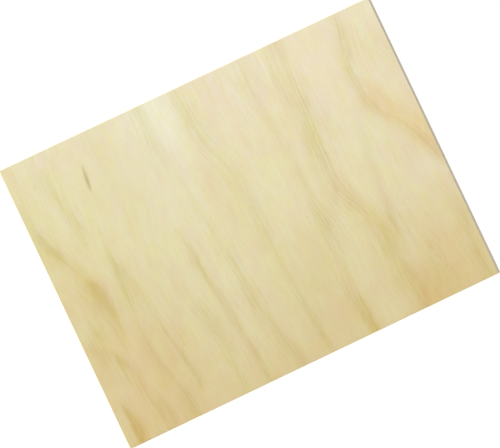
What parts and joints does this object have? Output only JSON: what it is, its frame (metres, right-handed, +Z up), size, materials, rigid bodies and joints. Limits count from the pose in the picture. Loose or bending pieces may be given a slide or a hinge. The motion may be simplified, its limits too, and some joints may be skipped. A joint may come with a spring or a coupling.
{
  "type": "plywood sheet",
  "caption": "Thin flat rectangular sheet of pale birch plywood with square corners, sawn edges and lightly eased arrises.",
  "frame": {"origin": "middle of the underside, on the surface that the sheet lies on", "axes": "+X along the two long edges, +Y along the two short edges, which is the way the face grain runs, +Z up through the thickness"},
  "size_m": [0.4, 0.3, 0.003],
  "materials": {
    "birch_plywood": "sanded bare birch veneer, pale cream with honey streaks, satin-matt"
  },
  "bodies": {
    "root": {"plywood_sheet": "birch_plywood"}
  },
  "joints": []
}
